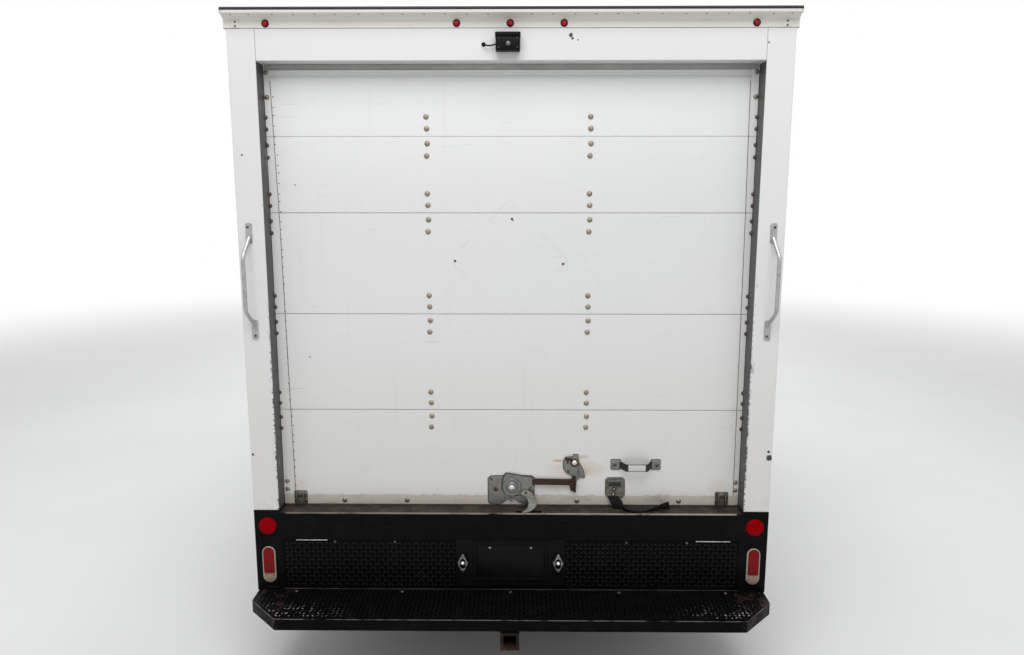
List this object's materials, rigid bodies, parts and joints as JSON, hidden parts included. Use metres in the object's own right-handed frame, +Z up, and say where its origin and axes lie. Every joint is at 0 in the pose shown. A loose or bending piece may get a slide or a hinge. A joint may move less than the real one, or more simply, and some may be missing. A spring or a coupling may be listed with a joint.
{
  "type": "box van",
  "caption": "Box van on a cutaway cab chassis with a roll-up rear door, step bumper and hitch receiver; wheels spin, the front ones steer, and cab doors and hood open.",
  "frame": {"origin": "on the ground, in the middle of the van's length and of its width over the mirrors", "axes": "+Y forward, +X to the van's right, +Z up"},
  "size_m": [2.66, 5.72, 2.8398],
  "materials": {
    "white_paint": "gloss",
    "door_paint": "satin",
    "black_paint": "satin",
    "chassis_black": "matte",
    "rail_aluminium": "satin",
    "zinc_steel": "dull zinc with light rust",
    "rusty_steel": "rusty",
    "cast_engine": "matte",
    "exhaust_steel": "dull",
    "tank_plastic": "matte",
    "radiator_core": "matte",
    "floor_boards": "worn",
    "cab_lining": "matte",
    "trim_plastic": "matte",
    "bumper_plastic": "grained",
    "camera_plastic": "satin",
    "lamp_glass": "clear",
    "lamp_red": "gloss",
    "window_glass": "clear",
    "seat_fabric": "woven",
    "strap_webbing": "woven",
    "wheel_steel": "satin",
    "tyre_rubber": "matte"
  },
  "bodies": {
    "chassis": {"box_floor": "floor_boards", "box_front_wall": "white_paint", "box_roof": "white_paint", "box_sides": "white_paint", "cab_floor": "cab_lining", "cab_glass": "window_glass", "cab_shell": "white_paint", "chassis_frame": "chassis_black", "dashboard": "trim_plastic", "door_fittings": "zinc_steel", "door_strap": "strap_webbing", "drive_shaft": "chassis_black", "engine": "cast_engine", "exhaust": "exhaust_steel", "floor_sills": "chassis_black", "front_bumper": "bumper_plastic", "front_panel": "white_paint", "front_suspension": "chassis_black", "front_wings": "white_paint", "fuel_tank": "tank_plastic", "grab_handles": "rail_aluminium", "grille": "bumper_plastic", "headlamps": "lamp_glass", "hitch_receiver": "rusty_steel", "kick_panel": "black_paint", "leaf_springs": "chassis_black", "plate_panel": "black_paint", "radiator": "radiator_core", "rear_axle": "chassis_black", "rear_camera": "camera_plastic", "rear_frame": "white_paint", "rear_lamps": "lamp_red", "rear_sill": "black_paint", "roll_door": "door_paint", "roof_rail": "rail_aluminium", "seats": "seat_fabric", "step_bumper": "black_paint", "wheel_housings": "chassis_black"},
    "knuckle_left": {"knuckle_left": "chassis_black"},
    "front_wheel_left": {"front_wheel_left": "wheel_steel", "front_tyre_left": "tyre_rubber"},
    "rear_wheel_left": {"rear_wheel_left": "wheel_steel", "rear_tyre_left": "tyre_rubber"},
    "door_left": {"door_left": "white_paint", "door_glass_left": "window_glass", "mirror_left": "bumper_plastic"},
    "knuckle_right": {"knuckle_right": "chassis_black"},
    "front_wheel_right": {"front_wheel_right": "wheel_steel", "front_tyre_right": "tyre_rubber"},
    "rear_wheel_right": {"rear_wheel_right": "wheel_steel", "rear_tyre_right": "tyre_rubber"},
    "door_right": {"door_right": "white_paint", "door_glass_right": "window_glass", "mirror_right": "bumper_plastic"},
    "hood": {"hood": "white_paint"},
    "steering_wheel": {"steering_wheel": "trim_plastic"}
  },
  "joints": [
    {"name": "steer_left", "type": "hinge", "parent": "chassis", "child": "knuckle_left", "pos_m": [-0.77, 1.99, 0.387], "axis": [0, 0, 1], "range_deg": [-35, 35]},
    {"name": "steer_right", "type": "hinge", "parent": "chassis", "child": "knuckle_right", "pos_m": [0.77, 1.99, 0.387], "axis": [0, 0, 1], "range_deg": [-35, 35]},
    {"name": "front_spin_left", "type": "hinge", "parent": "knuckle_left", "child": "front_wheel_left", "pos_m": [-0.87, 1.99, 0.387], "axis": [1, 0, 0], "continuous": true},
    {"name": "front_spin_right", "type": "hinge", "parent": "knuckle_right", "child": "front_wheel_right", "pos_m": [0.87, 1.99, 0.387], "axis": [1, 0, 0], "continuous": true},
    {"name": "rear_spin_left", "type": "hinge", "parent": "chassis", "child": "rear_wheel_left", "pos_m": [-0.855, -1.54, 0.387], "axis": [1, 0, 0], "continuous": true},
    {"name": "rear_spin_right", "type": "hinge", "parent": "chassis", "child": "rear_wheel_right", "pos_m": [0.855, -1.54, 0.387], "axis": [1, 0, 0], "continuous": true},
    {"name": "door_swing_left", "type": "hinge", "parent": "chassis", "child": "door_left", "pos_m": [-1.015, 1.535, 0.915], "axis": [0, 0, -1], "range_deg": [0, 70]},
    {"name": "door_swing_right", "type": "hinge", "parent": "chassis", "child": "door_right", "pos_m": [1.015, 1.535, 0.915], "axis": [0, 0, 1], "range_deg": [0, 70]},
    {"name": "hood_swing", "type": "hinge", "parent": "chassis", "child": "hood", "pos_m": [0, 2.003, 1.266], "axis": [1, 0, 0], "range_deg": [0, 50]},
    {"name": "steering_wheel_turn", "type": "hinge", "parent": "chassis", "child": "steering_wheel", "pos_m": [-0.48, 1.522, 1.175], "axis": [0, -0.8829, 0.4695], "range_deg": [-525, 525]}
  ],
  "couplings": [
    {"joint": "steer_right", "follows": "steer_left", "ratio": 1},
    {"joint": "steering_wheel_turn", "follows": "steer_left", "ratio": 15}
  ]
}
